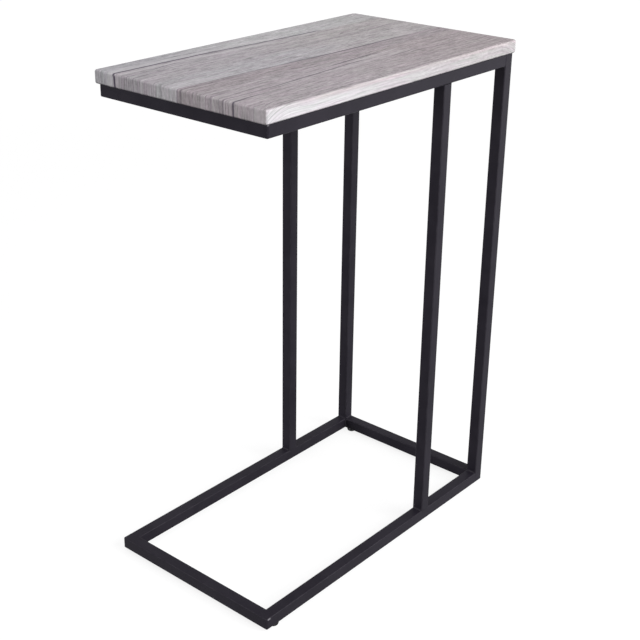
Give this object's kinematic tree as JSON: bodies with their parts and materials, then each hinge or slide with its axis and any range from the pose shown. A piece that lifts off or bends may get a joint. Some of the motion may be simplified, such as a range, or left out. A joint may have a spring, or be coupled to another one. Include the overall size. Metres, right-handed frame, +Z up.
{
  "type": "c shaped side table",
  "caption": "Narrow C-shaped side table: a grey wood-grain board on a black square-tube frame, open at the front so that its base slides under a bed or sofa.",
  "frame": {"origin": "on the floor, under the middle of the table's outline", "axes": "+X from the open front to the uprights, +Y from the table's right to its left as seen from the open front, +Z up"},
  "size_m": [0.451, 0.256, 0.6252],
  "materials": {
    "frame_black": "matt black powder coat",
    "grain_foil": "matt weathered-grey wood-grain foil",
    "fibreboard": "raw fibreboard",
    "backing_paper": "plain matt backing sheet",
    "zinc_steel": "bright zinc plate",
    "black_plastic": "moulded black plastic"
  },
  "bodies": {
    "table": {"base_front_rail": "frame_black", "base_back_rail": "frame_black", "base_left_rail": "frame_black", "base_right_rail": "frame_black", "top_front_rail": "frame_black", "top_back_rail": "frame_black", "top_left_rail": "frame_black", "top_right_rail": "frame_black", "back_left_post": "frame_black", "back_right_post": "frame_black", "mid_left_upright": "frame_black", "mid_right_upright": "frame_black", "frame_welds": "frame_black", "tabletop_core": "fibreboard", "tabletop_foil": "grain_foil", "tabletop_backing": "backing_paper", "tabletop_screws": "zinc_steel", "foot_nuts": "zinc_steel", "post_plugs": "black_plastic"},
    "front_left_leveller": {"front_left_foot": "black_plastic", "front_left_stud": "zinc_steel"},
    "back_left_leveller": {"back_left_foot": "black_plastic", "back_left_stud": "zinc_steel"},
    "front_right_leveller": {"front_right_foot": "black_plastic", "front_right_stud": "zinc_steel"},
    "back_right_leveller": {"back_right_foot": "black_plastic", "back_right_stud": "zinc_steel"}
  },
  "joints": [
    {"name": "front_left_leveller_screw", "type": "slide", "parent": "table", "child": "front_left_leveller", "axis": [0, 0, -1], "range_m": [0, 0.005]},
    {"name": "back_left_leveller_screw", "type": "slide", "parent": "table", "child": "back_left_leveller", "axis": [0, 0, -1], "range_m": [0, 0.005]},
    {"name": "front_right_leveller_screw", "type": "slide", "parent": "table", "child": "front_right_leveller", "axis": [0, 0, -1], "range_m": [0, 0.005]},
    {"name": "back_right_leveller_screw", "type": "slide", "parent": "table", "child": "back_right_leveller", "axis": [0, 0, -1], "range_m": [0, 0.005]}
  ]
}
